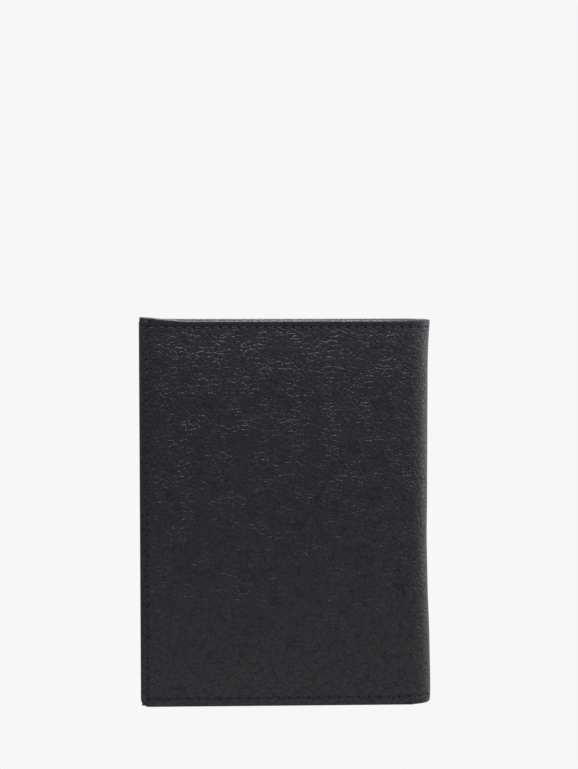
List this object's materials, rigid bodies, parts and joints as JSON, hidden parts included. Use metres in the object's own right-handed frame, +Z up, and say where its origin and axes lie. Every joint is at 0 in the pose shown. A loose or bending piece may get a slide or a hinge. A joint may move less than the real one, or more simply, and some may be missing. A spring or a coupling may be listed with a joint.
{
  "type": "bifold card holder",
  "caption": "Upright bifold leather card holder that opens flat, with T-shaped card pockets and a full-length note compartment in each half.",
  "frame": {"origin": "centre of the outer box at its lowest level, under the closed holder standing on its lower edges", "axes": "+X from the open edge towards the spine, +Y from the rear cover to the front cover through the thickness, +Z up"},
  "size_m": [0.098, 0.014, 0.131],
  "materials": {
    "cover_leather": "pebbled, satin",
    "pocket_leather": "smooth, satin",
    "stiffener_board": "matte",
    "lining_cloth": "fine twill",
    "thread": "waxed, twisted"
  },
  "bodies": {
    "rear_cover": {"rear_outer_leather": "cover_leather", "rear_stiffener": "stiffener_board", "rear_lining": "lining_cloth", "rear_bill_divider": "pocket_leather", "rear_card_pocket_1": "pocket_leather", "rear_card_pocket_2": "pocket_leather", "rear_card_pocket_3": "pocket_leather", "rear_low_pocket": "pocket_leather", "rear_top_seam": "thread", "rear_edge_seam": "thread", "rear_stack_seam": "thread", "rear_pocket_base_seams": "thread"},
    "spine_1": {"spine_leather_1": "cover_leather", "spine_lining_1": "lining_cloth", "spine_stitches_1": "thread"},
    "spine_2": {"spine_leather_2": "cover_leather", "spine_lining_2": "lining_cloth", "spine_stitches_2": "thread"},
    "spine_3": {"spine_leather_3": "cover_leather", "spine_lining_3": "lining_cloth", "spine_stitches_3": "thread"},
    "front_cover": {"front_outer_leather": "cover_leather", "front_stiffener": "stiffener_board", "front_lining": "lining_cloth", "front_bill_divider": "pocket_leather", "front_card_pocket_1": "pocket_leather", "front_card_pocket_2": "pocket_leather", "front_card_pocket_3": "pocket_leather", "front_low_pocket": "pocket_leather", "front_top_seam": "thread", "front_edge_seam": "thread", "front_stack_seam": "thread", "front_pocket_base_seams": "thread"}
  },
  "joints": [
    {"name": "fold_1", "type": "hinge", "parent": "rear_cover", "child": "spine_1", "pos_m": [0.04461, -0.0063, 0], "axis": [0, 0, -1], "range_deg": [0, 45]},
    {"name": "fold_2", "type": "hinge", "parent": "spine_1", "child": "spine_2", "pos_m": [0.0483, -0.00261, 0], "axis": [0, 0, -1], "range_deg": [0, 45]},
    {"name": "fold_3", "type": "hinge", "parent": "spine_2", "child": "spine_3", "pos_m": [0.0483, 0.00261, 0], "axis": [0, 0, -1], "range_deg": [0, 45]},
    {"name": "fold_4", "type": "hinge", "parent": "spine_3", "child": "front_cover", "pos_m": [0.04461, 0.0063, 0], "axis": [0, 0, -1], "range_deg": [0, 45]}
  ],
  "couplings": [
    {"joint": "fold_2", "follows": "fold_1", "ratio": 1},
    {"joint": "fold_3", "follows": "fold_1", "ratio": 1},
    {"joint": "fold_4", "follows": "fold_1", "ratio": 1}
  ]
}
